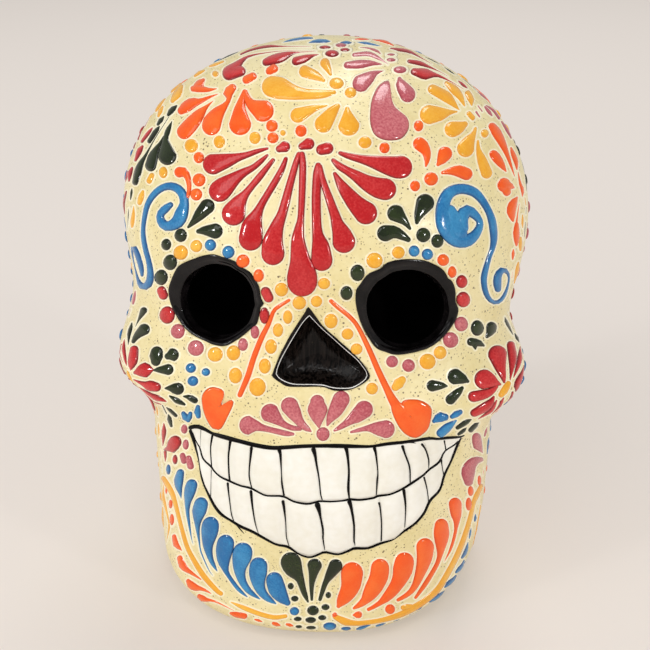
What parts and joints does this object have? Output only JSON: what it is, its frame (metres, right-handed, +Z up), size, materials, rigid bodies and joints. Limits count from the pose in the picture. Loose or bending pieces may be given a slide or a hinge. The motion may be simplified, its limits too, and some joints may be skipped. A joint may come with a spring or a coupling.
{
  "type": "sugar skull ornament",
  "caption": "Hollow glazed earthenware sugar skull, free-standing on a flat base, with black eye and nose cups, white teeth and raised coloured slip ornament.",
  "frame": {"origin": "on the plane of the base, under the middle of the skull's bounding box", "axes": "+Z up, from the base to the crown; -Y the way the face looks; +X towards the viewer's right when facing it"},
  "size_m": [0.1448, 0.1714, 0.198],
  "materials": {
    "cream_glaze": "gloss",
    "black_glaze": "gloss",
    "white_glaze": "gloss",
    "red_slip": "gloss",
    "blue_slip": "gloss",
    "orange_slip": "gloss",
    "yellow_slip": "gloss",
    "green_slip": "gloss",
    "pink_slip": "gloss"
  },
  "bodies": {
    "root": {"skull_shell": "cream_glaze", "nose_cup": "black_glaze", "eye_cup_left": "black_glaze", "eye_cup_right": "black_glaze", "upper_tooth_left_01": "white_glaze", "upper_tooth_left_02": "white_glaze", "upper_tooth_left_03": "white_glaze", "upper_tooth_left_04": "white_glaze", "upper_tooth_left_05": "white_glaze", "upper_tooth_left_06": "white_glaze", "upper_tooth_right_01": "white_glaze", "upper_tooth_right_02": "white_glaze", "upper_tooth_right_03": "white_glaze", "upper_tooth_right_04": "white_glaze", "upper_tooth_right_05": "white_glaze", "upper_tooth_right_06": "white_glaze", "lower_tooth_left_01": "white_glaze", "lower_tooth_left_02": "white_glaze", "lower_tooth_left_03": "white_glaze", "lower_tooth_left_04": "white_glaze", "lower_tooth_left_05": "white_glaze", "lower_tooth_left_06": "white_glaze", "lower_tooth_right_01": "white_glaze", "lower_tooth_right_02": "white_glaze", "lower_tooth_right_03": "white_glaze", "lower_tooth_right_04": "white_glaze", "lower_tooth_right_05": "white_glaze", "lower_tooth_right_06": "white_glaze", "forehead_petal_01": "red_slip", "forehead_petal_02": "red_slip", "forehead_petal_03": "red_slip", "forehead_petal_04": "red_slip", "forehead_petal_05": "red_slip", "forehead_petal_06": "red_slip", "forehead_petal_07": "red_slip", "forehead_petal_08": "red_slip", "forehead_petal_09": "red_slip", "forehead_petal_10": "red_slip", "forehead_petal_11": "red_slip", "jaw_plume_left_01": "blue_slip", "jaw_plume_left_02": "blue_slip", "jaw_plume_left_03": "blue_slip", "jaw_plume_left_04": "blue_slip", "jaw_plume_left_05": "blue_slip", "jaw_plume_left_06": "blue_slip", "jaw_plume_left_07": "blue_slip", "jaw_plume_left_08": "blue_slip", "jaw_plume_right_01": "orange_slip", "jaw_plume_right_02": "orange_slip", "jaw_plume_right_03": "orange_slip", "jaw_plume_right_04": "orange_slip", "jaw_plume_right_05": "orange_slip", "jaw_plume_right_06": "orange_slip", "brow_scroll_left": "blue_slip", "brow_scroll_right": "blue_slip", "tear_trail_left": "orange_slip", "tear_drop_left": "orange_slip", "tear_right": "orange_slip"}
  },
  "joints": []
}
